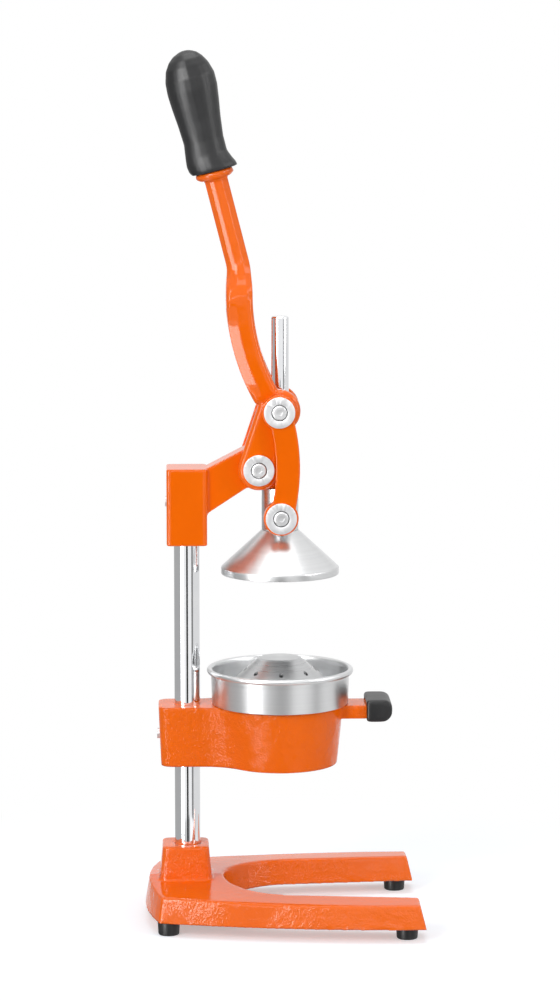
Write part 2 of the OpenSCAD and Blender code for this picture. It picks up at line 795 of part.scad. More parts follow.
module strainer() {
    t = strainer_t;
    foot_z = strainer_foot_z;
    step_r = strainer_base_r + 2 * edge;
    dome_r = strainer_top_r - strainer_crown;
    side_t = t / sin(bell_slope_deg);
    color(steel)
        difference() {
            rotate_extrude($fn = 128)
                polygon([
                    [strainer_flange_r, foot_z], [strainer_flange_r, foot_z + t],
                    [step_r, foot_z + t], [strainer_base_r, strainer_knee_z],
                    [strainer_top_r, strainer_top_z - strainer_crown / 2], [dome_r, strainer_top_z],
                    [0, strainer_top_z + 0.3 * strainer_crown],
                    [0, strainer_top_z + 0.3 * strainer_crown - t], [dome_r - t / 2, strainer_top_z - t],
                    [strainer_top_r - side_t, strainer_top_z - strainer_crown / 2 - t / 2],
                    [strainer_base_r - side_t, strainer_knee_z - t / 2], [step_r - t, foot_z],
                ]);
            for (ring = hole_rings, i = [0:ring[1] - 1])
                rotate([0, 0, ring[2] + i * 360 / ring[1]])
                    translate([ring[0], 0, foot_z])
                        cylinder(d = strainer_hole_d, h = strainer_top_z - foot_z, $fn = 24);
            for (i = [0:flange_holes - 1])
                rotate([0, 0, i * 360 / flange_holes])
                    translate([flange_hole_r, 0, foot_z - over])
                        cylinder(d = strainer_hole_d * flange_hole_share, h = t + 2 * over, $fn = 24);
        }
}

// Plunger

module crosshead() {
    socket_z = neck_top_z - rod_socket_depth;
    color(steel)
        difference() {
            union() {
                translate([0, 0, bell_top_z])
                    cylinder(d = neck_d, h = neck_above + neck_below);
                across(link_foot, side_boss_d / 2, -cheek_out, cheek_out);
            }
            translate([0, 0, socket_z])
                cylinder(d = rod_d + 2 * fit, h = rod_socket_depth + over);
            translate([0, 0, bell_top_z - over])
                cylinder(d = screw_d + 2 * fit, h = bell_screw_reach + 1.5 * over);
            translate([0, 0, neck_top_z - rod_socket_depth + pin_above])
                rotate([0, 90, 0])
                    cylinder(d = pin_d + 2 * fit, h = 2 * neck_d, center = true);
            both_sides()
                across(link_foot, screw_d / 2 + fit, neck_d / 2, cheek_out + over);
        }
}

module plunger_rod() {
    foot_z = neck_top_z - rod_socket_depth + seat_gap;
    color(chrome)
        difference() {
            rotate_extrude()
                polygon([
                    [0, foot_z], [rod_d / 2 - edge, foot_z], [rod_d / 2, foot_z + edge],
                    [rod_d / 2, rod_top_z - edge], [rod_d / 2 - edge, rod_top_z], [0, rod_top_z],
                ]);
            translate([0, 0, neck_top_z - rod_socket_depth + pin_above])
                rotate([0, 90, 0])
                    cylinder(d = pin_d + 2 * fit, h = 2 * rod_d, center = true);
        }
}

module rod_pin() {
    color(zinc)
        translate([0, 0, neck_top_z - rod_socket_depth + pin_above])
            rotate([0, 90, 0])
                cylinder(d = pin_d, h = neck_d - 2 * edge, center = true);
}

module bell() {
    t = bell_t;
    side_t = t / sin(bell_slope_deg);
    cone_z = bell_top_z - bell_cone_h;
    rim_z = cone_z - bell_rim_h;
    color(steel)
        difference() {
            rotate_extrude($fn = 128)
                polygon([
                    [0, bell_top_z], [bell_top_r, bell_top_z], [bell_cone_r, cone_z],
                    [bell_rim_r, cone_z - 1.3 * edge], [bell_rim_r, rim_z], [bell_rim_r - t, rim_z],
                    [bell_rim_r - t, cone_z - 1.3 * edge - t / 2], [bell_cone_r - side_t, cone_z - t / 4],
                    [bell_top_r - side_t + t, bell_top_z - t], [0, bell_top_z - t],
                ]);
            translate([0, 0, bell_top_z - t - over])
                cylinder(d = screw_d + 2 * fit, h = t + 2 * over);
        }
}

module bell_screw() {
    color(zinc)
        translate([0, 0, bell_top_z - bell_t])
            difference() {
                union() {
                    translate([0, 0, -bell_screw_head_h])
                        cylinder(d = bell_screw_head_d, h = bell_screw_head_h);
                    cylinder(d = screw_d, h = bell_screw_reach + bell_t);
                }
                translate([0, 0, -bell_screw_head_h - over])
                    cylinder(r = socket_r, h = bell_socket_depth + over, $fn = 6);
            }
}

// Lever

// One cheek of the fork: round the pivot, up to the link pivot, then up the curved arm
module cheek_outline() {
    c = arm_centre;
    half = arm_w / 2;
    way_deg = crank_up_deg;
    pivot_deg = atan2(web_half_w, sqrt(pivot_boss_r * pivot_boss_r - web_half_w * web_half_w));
    link_deg = atan2(web_half_w, sqrt(link_boss_r * link_boss_r - web_half_w * web_half_w));
    polygon(concat(
        arc_points(pivot, pivot_boss_r, way_deg + 90, way_deg + 360 - pivot_deg, 24),
        arc_points(crank_top, link_boss_r, way_deg + 180 + link_deg, 450, 16),
        arc_points(c, arm_bend_r - half, 180 + arm_bend_deg, 180),
        [arm_top + [half, bridge_above], arm_top + [-half, bridge_above]],
        arc_points(c, arm_bend_r + half, 180, 180 + arm_bend_deg),
        [crank_top + link_boss_r * [cos(way_deg + 90), sin(way_deg + 90)]]));
}

// Eight-sided section of the bar, w and t half across, its corners cut by c
function bar_section(w, t, c) = [
    [w, t - c], [w - c, t], [c - w, t], [-w, t - c],
    [-w, c - t], [c - w, -t], [w - c, -t], [w, c - t],
];

// A section of the bar set square across the lever at a place, leaning back
function lay_section(at, lean_deg, section) =
    [for (p = section) [at[0] + p[0] * cos(lean_deg), p[1], at[1] + p[0] * sin(lean_deg)]];

module along_bar(from) {
    place = bar_root + from * bar_way;
    translate([place[0], 0, place[1]])
        rotate([0, -bar_lean_deg, 0])
            children();
}

// The bar, which spreads at its foot to the width of the fork
module bar() {
    low = arm_top - [0, bridge_below];
    foot_w = arm_w / 2 - edge;
    foot_t = cheek_out - edge;
    foot = [for (s = crown_shares)
        lay_section(low + s[0] * (bar_root - low), s[0] * bar_lean_deg / 2,
            bar_section(foot_w + (bar_w / 2 - foot_w) * s[1], foot_t + (bar_t / 2 - foot_t) * s[1],
                2 * edge + (bar_corner - 2 * edge) * s[1]))];
    end = lay_section(bar_end, bar_lean_deg, bar_section(bar_w / 2, bar_t / 2, bar_corner));
    loft(concat(foot, [end]));
}

module lever() {
    color(enamel)
        difference() {
            union() {
                both_sides()
                    plate(cheek_in, cheek_out) cheek_outline();
                bar();
                along_bar(bar_len)
                    rotate_extrude()
                        polygon([
                            [0, -edge], [collar_d / 2 - collar_t / 2, -edge],
                            [collar_d / 2, collar_t / 3], [collar_d / 2, collar_t * 2 / 3],
                            [collar_d / 2 - edge, collar_t], [0, collar_t],
                        ]);
                along_bar(bar_len) cylinder(d = tang_d, h = collar_t + tang_len);
            }
            across(pivot, axle_d / 2 + run, -cheek_out - over, cheek_out + over);
            across(crank_top, screw_d / 2 + fit, -cheek_out - over, cheek_out + over);
        }
}

module grip() {
    half_w = grip_w / 2;
    half_t = grip_t / 2;
    rings = [for (s = grip_shares)
        let (mid = (s[2] - s[1]) / 2 * half_w, w = (s[1] + s[2]) / 2 * half_w, t = s[3] * half_t)
        [for (i = [0:grip_sides - 1])
            let (a = 360 * i / grip_sides, ca = cos(a), sa = sin(a))
            [mid + w * sign(ca) * pow(abs(ca), grip_round_share),
             t * sign(sa) * pow(abs(sa), grip_round_share), s[0] * grip_len]]];
    color(rubber)
        along_bar(bar_len + collar_t + grip_seat)
            difference() {
                loft(rings);
                translate([0, 0, -over])
                    cylinder(d = tang_d + 2 * fit, h = tang_len + over + seat_gap);
            }
}

// Pivot fasteners

// A low round head on a plain shank, pointing outwards along +y from its seat
module pivot_screw(at, seat, reach) {
    head_r = screw_head_d / 2;
    lip = screw_head_h * head_round_share;
    translate([at[0], seat, at[1]])
        rotate([-90, 0, 0])
            difference() {
                union() {
                    rotate_extrude()
                        polygon([
                            [0, 0], [head_r, 0], [head_r, screw_head_h - 2 * lip],
                            [head_r - lip / 3, screw_head_h - lip], [head_r - lip, screw_head_h - lip / 3],
                            [head_r - 2 * lip, screw_head_h], [0, screw_head_h],
                        ]);
                    translate([0, 0, -reach])
                        cylinder(d = screw_d, h = reach + over);
                }
                translate([0, 0, screw_head_h - socket_depth])
                    cylinder(r = socket_r, h = socket_depth + over, $fn = 6);
            }
}

// A washer with a round recess for its screw's head
module pivot_washer(at, seat) {
    difference() {
        across(at, washer_d / 2, seat, seat + washer_t);
        across(at, screw_head_d / 2 + head_room, seat + washer_floor_t, seat + washer_t + over);
        across(at, screw_d / 2 + fit, seat - over, seat + washer_t + over);
    }
}

module sleeve(at, y_from, y_to) {
    difference() {
        across(at, axle_d / 2, y_from, y_to);
        across(at, screw_d / 2 + fit, y_from - over, y_to + over);
    }
}

module lever_axle() {
    color(zinc)
        difference() {
            across(pivot, axle_d / 2, -axle_half, axle_half);
            both_sides()
                across(pivot, screw_d / 2 + fit, axle_half - axle_tap_depth, axle_half + over);
        }
}

module lever_axle_washers() {
    color(zinc) both_sides() pivot_washer(pivot, axle_half);
}

module lever_axle_screws() {
    color(zinc)
        both_sides()
            pivot_screw(pivot, axle_half + washer_floor_t, washer_floor_t + axle_tap_depth - over);
}

module link_top_sleeves() {
    color(zinc) both_sides() sleeve(crank_top, cheek_out, link_washer_in);
}

module link_top_washers() {
    color(zinc) both_sides() pivot_washer(crank_top, link_washer_in);
}

module link_top_screws() {
    seat = link_washer_in + washer_floor_t;
    color(zinc) both_sides() pivot_screw(crank_top, seat, seat - cheek_in - over);
}

module link_bottom_sleeves() {
    color(zinc) both_sides() sleeve(link_foot, link_in, link_washer_in);
}

module link_bottom_washers() {
    color(zinc) both_sides() pivot_washer(link_foot, link_washer_in);
}

module link_bottom_screws() {
    seat = link_washer_in + washer_floor_t;
    color(zinc) both_sides() pivot_screw(link_foot, seat, seat - link_in);
}

// Links

module link_outline() {
    half_deg = link_arc_deg / 2;
    centre = [link_bow - link_arc_r, -link_len / 2];
    circle(link_eye_r);
    translate([0, -link_len]) circle(link_eye_r);
    polygon(concat(
        arc_points(centre, link_arc_r + link_w / 2, -half_deg, half_deg),
        arc_points(centre, link_arc_r - link_w / 2, half_deg, -half_deg)));
}

module link() {
    color(enamel)
        difference() {
            plate(link_in, link_out)
                translate(crank_top)
                    rotate(link_tilt_deg)
                        link_outline();
            across(crank_top, axle_d / 2 + run, link_in - over, link_out + over);
            across(link_foot, axle_d / 2 + fit, link_in - over, link_out + over);
        }
}

module link_far() link();
module link_near() mirror([0, 1, 0]) link();

base_casting();
foot(foot_places[0]);  // foot_front_left
foot(foot_places[1]);  // foot_front_right
foot(foot_places[2]);  // foot_rear_left
foot(foot_places[3]);  // foot_rear_right
foot_screws();
column();
column_bolt();
column_washer();
head_casting();
head_grub_screw();
rod_bush();
cup_holder();
holder_grub_screw();
bumper();
juice_bowl();
strainer();
plunger_rod();
crosshead();
rod_pin();
bell();
bell_screw();
lever();
grip();
lever_axle();
lever_axle_washers();
lever_axle_screws();
link_near();
link_far();
link_top_sleeves();
link_top_washers();
link_top_screws();
link_bottom_sleeves();
link_bottom_washers();
link_bottom_screws();
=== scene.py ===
import math

import bmesh
import bpy
from mathutils import Matrix, Vector


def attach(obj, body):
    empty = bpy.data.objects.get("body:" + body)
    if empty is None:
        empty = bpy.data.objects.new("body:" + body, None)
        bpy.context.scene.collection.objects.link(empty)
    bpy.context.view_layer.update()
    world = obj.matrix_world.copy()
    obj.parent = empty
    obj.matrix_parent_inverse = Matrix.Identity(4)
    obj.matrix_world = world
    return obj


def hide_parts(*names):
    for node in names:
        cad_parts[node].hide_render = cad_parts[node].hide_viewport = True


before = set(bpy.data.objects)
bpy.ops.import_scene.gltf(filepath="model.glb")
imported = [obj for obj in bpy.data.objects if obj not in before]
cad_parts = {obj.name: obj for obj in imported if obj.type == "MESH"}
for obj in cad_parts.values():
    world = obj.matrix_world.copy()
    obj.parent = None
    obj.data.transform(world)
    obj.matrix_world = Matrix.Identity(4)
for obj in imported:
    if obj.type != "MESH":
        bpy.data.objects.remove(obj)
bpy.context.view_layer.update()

MM = 0.001

# Places that the pieces are hung on, as (x, z) in millimetres, and the bar's lean in degrees
column_x = -72.4
lever_pivot = (-17.0, 355.0)
link_top = (-1.373, 400.385)
link_foot = (0.0, 318.4)
bar_end = (-49.44, 578.72)
bar_lean = 14.4

# The lever's fork: two cheeks, and an arm that curves round a far centre
cheek_inner = 12.4
cheek_outer = 21.4
cheek_rim = 4.2
arm_centre = (127.34, 489.97)
arm_sweep = 28.6
axle_bore_r = 6.06
screw_bore_r = 4.03

# The sloping face on the arm and the bar: how steep it is, and where it lies on the arm
bar_slope = 0.42
arm_slope = 0.42
arm_ridge_r = 161.0
arm_ridge_low = 412.0
arm_ridge_high = 486.0
arm_ridge_run_in = 10.0
arm_ridge_run_out = 24.0

# The grip's ridge along its mould line: its place across the grip, its height as a share of
# the grip, and how far it spreads to the left and to the right
ridge_at = -0.5
ridge_share = 0.10
ridge_left = 15.0
ridge_right = 11.0

# The recessed washers under the pivot screws
washer_r = 12.0
washer_t = 2.0
recess_r = 6.25
recess_floor = 0.9

# Steps in a full turn of the lathe
round_steps = 128


# Modelling

def chain(shape, places):
    """Draws a line through (radius, height) places.

    ("bend", centre, degrees, steps) swings it round a centre.
    """
    last = None
    for place in places:
        if place[0] == "bend":
            centre, degrees, steps = place[1:]
            swung = bmesh.ops.spin(
                shape, geom=[last], cent=(centre[0], 0, centre[1]), axis=(0, 1, 0),
                angle=math.radians(degrees), steps=steps, use_duplicate=False)
            last = swung["geom_last"][0]
        elif last is None:
            last = shape.verts.new((place[0], 0, place[1]))
        else:
            last = bmesh.ops.extrude_vert_indiv(shape, verts=[last])["verts"][0]
            last.co = (place[0], 0, place[1])
    return last


def close_chain(shape, last):
    shape.verts.ensure_lookup_table()
    shape.edges.new((last, shape.verts[0]))


def turned(places, closed=True):
    """A piece turned on a lathe: its half section spun round the z axis."""
    shape = bmesh.new()
    last = chain(shape, places)
    if closed:
        close_chain(shape, last)
    bmesh.ops.spin(
        shape, geom=shape.verts[:] + shape.edges[:], cent=(0, 0, 0), axis=(0, 0, 1),
        angle=math.tau, steps=round_steps, use_merge=True, use_duplicate=False)
    bmesh.ops.remove_doubles(shape, verts=shape.verts, dist=0.001)
    bmesh.ops.recalc_face_normals(shape, faces=shape.faces)
    return shape


def break_edges(shape, width, segments=3, over=25.0):
    """Rounds every edge that is sharper than an angle."""
    sharp = [e for e in shape.edges
             if e.is_manifold and e.calc_face_angle(0.0) > math.radians(over)]
    bmesh.ops.bevel(
        shape, geom=sharp, offset=width, offset_type="OFFSET", segments=segments,
        profile=0.5, affect="EDGES", clamp_overlap=True, material=-1)


def turn(shape, degrees, axis):
    bmesh.ops.rotate(
        shape, verts=shape.verts, cent=(0, 0, 0),
        matrix=Matrix.Rotation(math.radians(degrees), 3, axis))


def move(shape, x=0.0, y=0.0, z=0.0):
    bmesh.ops.translate(shape, verts=shape.verts, vec=(x, y, z))
    return shape


def lay_across(shape, place, seat, outward):
    """Turns a lathe piece to lie across the press at an (x, z) place, on a seat, facing out."""
    turn(shape, -90 * outward, "X")
    return move(shape, place[0], outward * seat, place[1])


def lean_on_bar(shape):
    """Sets a shape made round the z axis on the end of the lever's bar."""
    turn(shape, -bar_lean, "Y")
    return move(shape, bar_end[0], 0, bar_end[1])


def mesh_of(shape, name):
    """A finished shape as a mesh; the shape goes."""
    mesh = bpy.data.meshes.new(name)
    shape.to_mesh(mesh)
    shape.free()
    return mesh


def set_out(name, data):
    thing = bpy.data.objects.new(name, data)
    bpy.context.scene.collection.objects.link(thing)
    return thing


def join(shapes):
    """Several shapes as one piece."""
    whole = bmesh.new()
    for shape in shapes:
        part = mesh_of(shape, "part")
        whole.from_mesh(part)
        bpy.data.meshes.remove(part)
    return whole


def to_metres(shape):
    bmesh.ops.scale(shape, verts=shape.verts, vec=(MM, MM, MM))


def place_piece(mesh, name, body, node, finish):
    """Puts a finished mesh on its body, in place of the frame's solid."""
    piece = set_out(name, mesh)
    mesh.materials.clear()
    mesh.materials.append(finish)
    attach(piece, body)
    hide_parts(node)


def fit(shape, name, body, node, finish, sharp_over=32.0):
    """Scales a finished shape to metres, shades it and puts it on its body."""
    to_metres(shape)
    mesh = mesh_of(shape, name)
    for face in mesh.polygons:
        face.use_smooth = True
    mesh.set_sharp_from_angle(angle=math.radians(sharp_over))
    place_piece(mesh, name, body, node, finish)


def worked(rough, *others):
    """The mesh that a scratch object's modifiers make; the scratch objects go."""
    bpy.context.view_layer.update()
    seen = rough.evaluated_get(bpy.context.evaluated_depsgraph_get())
    mesh = bpy.data.meshes.new_from_object(seen)
    for spent in (rough, *others):
        data = spent.data
        bpy.data.objects.remove(spent)
        bpy.data.meshes.remove(data)
    return mesh


def cross_bit(bores):
    """Round bars across the press at (x, z) places, to cut bores with."""
    bit = bmesh.new()
    for place, radius in bores:
        made = bmesh.ops.create_cone(
            bit, cap_ends=True, segments=64, radius1=radius, radius2=radius, depth=80)
        bmesh.ops.rotate(
            bit, verts=made["verts"], cent=(0, 0, 0), matrix=Matrix.Rotation(math.pi / 2, 3, "X"))
        bmesh.ops.translate(bit, verts=made["verts"], vec=(place[0], 0, place[1]))
    to_metres(bit)
    return set_out("bit", mesh_of(bit, "bit"))


def run_round(shape, name, grain, passes, bores=()):
    """Fuses the shells of a shape in metres and bores it.

    Its edges and inner corners run round, as enamel or rubber leaves them.
    """
    rough = set_out(name + "_blank", mesh_of(shape, name + "_blank"))
    melt = rough.modifiers.new("melt", "REMESH")
    melt.mode = "VOXEL"
    melt.voxel_size = grain * MM
    melt.adaptivity = 0.0
    melt.use_smooth_shade = True
    flow = rough.modifiers.new("flow", "SMOOTH")
    flow.factor = 0.5
    flow.iterations = passes
    bits = [cross_bit(bores)] if bores else []
    for bit in bits:
        cut = rough.modifiers.new("cut", "BOOLEAN")
        cut.operation = "DIFFERENCE"
        cut.solver = "EXACT"
        cut.object = bit
    mesh = worked(rough, *bits)
    mesh.name = name
    return mesh


def blank_of(node):
    """A copy of the frame's solid, its triangles merged, in metres."""
    shape = bmesh.new()
    shape.from_mesh(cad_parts[node].data)
    bmesh.ops.remove_doubles(shape, verts=shape.verts, dist=0.002 * MM)
    return shape


def cast(node, name, body, finish, grain, passes):
    """A casting or moulding with the frame's own shape and soft edges."""
    place_piece(run_round(blank_of(node), name, grain, passes), name, body, node, finish)


def round_rim(shape, face, radius, steps=5):
    """Rounds the rim of a flat face, by insets that follow a quarter of a circle."""
    for step in range(steps):
        here = math.radians(90 * step / steps)
        there = math.radians(90 * (step + 1) / steps)
        bmesh.ops.inset_region(
            shape, faces=[face], thickness=radius * (math.cos(here) - math.cos(there)),
            depth=radius * (math.sin(there) - math.sin(here)), use_even_offset=True)


def plate(places, y_in, y_out, rim):
    """A plate across y with a drawn outline, and a round rim on its outer face."""
    shape = bmesh.new()
    close_chain(shape, chain(shape, places))
    face = bmesh.ops.contextual_create(shape, geom=shape.edges[:])["faces"][0]
    move(shape, y=y_in)
    grown = bmesh.ops.extrude_face_region(shape, geom=[face])["geom"]
    outer = next(g for g in grown if isinstance(g, bmesh.types.BMFace))
    side = 1 if y_out > y_in else -1
    bmesh.ops.translate(shape, verts=outer.verts, vec=(0, y_out - y_in - side * rim, 0))
    bmesh.ops.recalc_face_normals(shape, faces=shape.faces)
    round_rim(shape, outer, rim)
    return shape


def ring_of(shape, places):
    """A closed line through places."""
    corners = [shape.verts.new(place) for place in places]
    return [shape.edges.new((a, b)) for a, b in zip(corners, corners[1:] + corners[:1])]


def drawn_bar(sections):
    """A bar through sections, alike on both sides of the middle plane.

    Each gives its (x, z), lean, half width, half thickness, the width and slope of the
    facet on the left, and the corner cut on the right.
    """
    edge_at_no_strip, edge_lost = 4.8, 0.4
    edge_fall, cut_fall = 1.5, 0.75
    shape = bmesh.new()
    rings = []
    for (x, z), lean, wide, thick, strip, slope, cut in sections:
        across = math.cos(math.radians(lean)), math.sin(math.radians(lean))
        edge = edge_at_no_strip - edge_lost * strip
        drop = slope * strip
        half = [
            (wide, thick - cut_fall * cut), (wide - cut, thick), (strip + edge - wide, thick),
            (edge - wide, thick - drop), (-wide, thick - drop - edge_fall * edge)]
        corners = half + [(u, -y) for u, y in reversed(half)]
        rings.append(ring_of(
            shape, [(x + u * across[0], y, z + u * across[1]) for u, y in corners]))
    for low, high in zip(rings, rings[1:]):
        bmesh.ops.bridge_loops(shape, edges=low + high)
    bmesh.ops.contextual_create(shape, geom=rings[0])
    bmesh.ops.contextual_create(shape, geom=rings[-1])
    bmesh.ops.recalc_face_normals(shape, faces=shape.faces)
    return shape


# Nodes that the materials share

def new_finish(name):
    finish = bpy.data.materials.new(name)
    finish.use_nodes = True
    return finish, finish.node_tree, finish.node_tree.nodes["Principled BSDF"]


def node_of(tree, kind, **values):
    """A node with its sockets, or else its settings, at given values."""
    node = tree.nodes.new(kind)
    for key, value in values.items():
        if key in node.inputs:
            node.inputs[key].default_value = value
        else:
            setattr(node, key, value)
    return node


def group_of(name, inputs, outputs):
    """A node group with named number inputs, a Vector input, and named outputs."""
    tree = bpy.data.node_groups.new(name, "ShaderNodeTree")
    tree.interface.new_socket("Vector", in_out="INPUT", socket_type="NodeSocketVector")
    for label, value in inputs.items():
        made = tree.interface.new_socket(label, in_out="INPUT", socket_type="NodeSocketFloat")
        made.default_value = value
    for label in outputs:
        tree.interface.new_socket(label, in_out="OUTPUT", socket_type="NodeSocketFloat")
    return tree, tree.nodes.new("NodeGroupInput").outputs, tree.nodes.new("NodeGroupOutput").inputs


def maths(tree, operation, first, second=None):
    """A Math node; each value is a socket or a number."""
    node = node_of(tree, "ShaderNodeMath", operation=operation)
    for slot_number, value in enumerate((first, second)):
        if isinstance(value, (int, float)):
            node.inputs[slot_number].default_value = value
        elif value is not None:
            tree.links.new(value, node.inputs[slot_number])
    return node.outputs[0]


def noise(tree, vector, scale, detail, roughness=0.5):
    node = node_of(tree, "ShaderNodeTexNoise", Detail=detail, Roughness=roughness)
    tree.links.new(vector, node.inputs["Vector"])
    if isinstance(scale, (int, float)):
        node.inputs["Scale"].default_value = scale
    else:
        tree.links.new(scale, node.inputs["Scale"])
    return node.outputs["Fac"]


def ramp(tree, value, start, end, low=0.0, high=1.0):
    """A number that goes from low to high while a value goes from start to end."""
    node = node_of(tree, "ShaderNodeMapRange", **{
        "From Min": start, "From Max": end, "To Min": low, "To Max": high})
    tree.links.new(value, node.inputs["Value"])
    return node.outputs["Result"]


def between(tree, share, low, high):
    """A number that goes from low to high with a share."""
    return ramp(tree, share, 0.0, 1.0, low, high)


def blend_of(tree, share, low, high):
    """Mixes two colours by a share."""
    node = node_of(tree, "ShaderNodeMix", data_type="RGBA")
    for socket in node.inputs:
        if socket.type == "RGBA":
            socket.default_value = (*low, 1.0) if socket.name == "A" else (*high, 1.0)
    tree.links.new(share, node.inputs[0])
    return next(s for s in node.outputs if s.type == "RGBA")


def run_of_enamel():
    """Height of a thick glossy coat over rough iron: slow waves and an orange peel."""
    tree, given, taken = group_of(
        "Run of enamel", {"Wave": 90.0, "Peel": 420.0, "Share": 0.4}, ["Height", "Tone"])
    wave = noise(tree, given["Vector"], given["Wave"], 1.0)
    peel = noise(tree, given["Vector"], given["Peel"], 1.0)
    both = maths(tree, "ADD", wave, maths(tree, "MULTIPLY", peel, given["Share"]))
    tree.links.new(both, taken["Height"])
    tree.links.new(noise(tree, given["Vector"], 22.0, 2.0), taken["Tone"])
    return tree


def handling_marks():
    """Faint smears and scuffs, as a share from 0 to 1."""
    tree, given, taken = group_of("Handling marks", {"Size": 60.0, "Contrast": 2.0}, ["Marks"])
    cloud = noise(tree, given["Vector"], given["Size"], 4.0, 0.6)
    spread = maths(tree, "MULTIPLY", maths(tree, "SUBTRACT", cloud, 0.5), given["Contrast"])
    marks = tree.nodes.new("ShaderNodeClamp")
    tree.links.new(maths(tree, "ADD", spread, 0.5), marks.inputs["Value"])
    tree.links.new(marks.outputs["Result"], taken["Marks"])
    return tree


def turning_lines():
    """Fine rings left by the lathe or the polishing wheel, round the z axis of the press."""
    tree, given, taken = group_of(
        "Turning lines", {"Fine": 2600.0, "Broad": 260.0}, ["Height", "Tone"])
    apart = tree.nodes.new("ShaderNodeSeparateXYZ")
    tree.links.new(given["Vector"], apart.inputs["Vector"])
    across = maths(tree, "MULTIPLY", apart.outputs["X"], apart.outputs["X"])
    along = maths(tree, "MULTIPLY", apart.outputs["Y"], apart.outputs["Y"])
    radius = maths(tree, "SQRT", maths(tree, "ADD", across, along))
    track = maths(tree, "SUBTRACT", radius, maths(tree, "MULTIPLY", apart.outputs["Z"], 1.2))
    for label, speed in (("Height", "Fine"), ("Tone", "Broad")):
        rings = node_of(
            tree, "ShaderNodeTexNoise", noise_dimensions="1D", Detail=3.0, Roughness=0.6)
        rings.inputs["Scale"].default_value = 1.0
        tree.links.new(maths(tree, "MULTIPLY", track, given[speed]), rings.inputs["W"])
        tree.links.new(rings.outputs["Fac"], taken[label])
    return tree


groups = {
    "enamel": run_of_enamel(),
    "marks": handling_marks(),
    "lines": turning_lines(),
}


def place_group(tree, which, **values):
    """Puts a shared group in a material, on the piece's own coordinates."""
    where = tree.nodes.new("ShaderNodeTexCoord")
    node = tree.nodes.new("ShaderNodeGroup")
    node.node_tree = groups[which]
    tree.links.new(where.outputs["Object"], node.inputs["Vector"])
    for label, value in values.items():
        node.inputs[label].default_value = value
    return node.outputs


def bump(tree, shader, height, strength, depth_mm):
    node = node_of(tree, "ShaderNodeBump", Strength=strength, Distance=depth_mm * MM)
    tree.links.new(height, node.inputs["Height"])
    tree.links.new(node.outputs["Normal"], shader.inputs["Normal"])


# Materials

def enamel_unevenness(tree, tone, upright_z, height):
    """How strongly the coat runs: most on upright faces low down, and in patches."""
    upright = maths(tree, "SUBTRACT", 1.0, maths(tree, "ABSOLUTE", upright_z))
    low_down = ramp(tree, height, 0.17, 0.26, 1.0, 0.1)
    patches = ramp(tree, tone, 0.42, 0.56, 0.25, 1.0)
    share = maths(tree, "MULTIPLY", between(tree, upright, 0.18, 1.0), low_down)
    return maths(tree, "MULTIPLY", share, patches), low_down


def orange_enamel():
    finish, tree, shader = new_finish("orange_enamel")
    run = place_group(tree, "enamel", Wave=150.0, Peel=760.0, Share=0.5)
    tree.links.new(
        blend_of(tree, run["Tone"], (0.88, 0.130, 0.001), (0.95, 0.152, 0.002)),
        shader.inputs["Base Color"])
    shader.inputs["Roughness"].default_value = 0.08
    shader.inputs["IOR"].default_value = 1.38
    where = tree.nodes.new("ShaderNodeTexCoord")
    facing = tree.nodes.new("ShaderNodeSeparateXYZ")
    tree.links.new(where.outputs["Normal"], facing.inputs["Vector"])
    place = tree.nodes.new("ShaderNodeSeparateXYZ")
    tree.links.new(where.outputs["Object"], place.inputs["Vector"])
    height = place.outputs["Z"]
    share, low_down = enamel_unevenness(tree, run["Tone"], facing.outputs["Z"], height)
    off_base = ramp(tree, height, 0.085, 0.115)
    on_holder = maths(tree, "MULTIPLY", off_base, low_down)
    tree.links.new(between(tree, on_holder, 0.5, 0.3), shader.inputs["Specular IOR Level"])
    bump(tree, shader, maths(tree, "MULTIPLY", run["Height"], share), 1.0, 1.15)
    return finish


def metal(name, colours, roughnesses, marks_size):
    """Bare or plated metal with faint handling marks."""
    finish, tree, shader = new_finish(name)
    marks = place_group(tree, "marks", Size=marks_size, Contrast=2.2)["Marks"]
    shader.inputs["Metallic"].default_value = 1.0
    tree.links.new(blend_of(tree, marks, *colours), shader.inputs["Base Color"])
    tree.links.new(between(tree, marks, *roughnesses), shader.inputs["Roughness"])
    return finish


def chrome_plate():
    return metal("chrome_plate", ((0.80, 0.81, 0.83), (0.86, 0.865, 0.875)), (0.03, 0.085), 70.0)


def bronze_bush():
    return metal("bronze_bush", ((0.50, 0.31, 0.12), (0.62, 0.42, 0.18)), (0.25, 0.4), 70.0)


def zinc(name, low, high):
    return metal(name, ((low, low, low * 1.01), (high, high, high * 1.01)), (0.34, 0.40), 140.0)


def zinc_plate():
    return zinc("zinc_plate", 0.80, 0.85)


def zinc_on_screws():
    return zinc("zinc_plate_screws", 0.66, 0.74)


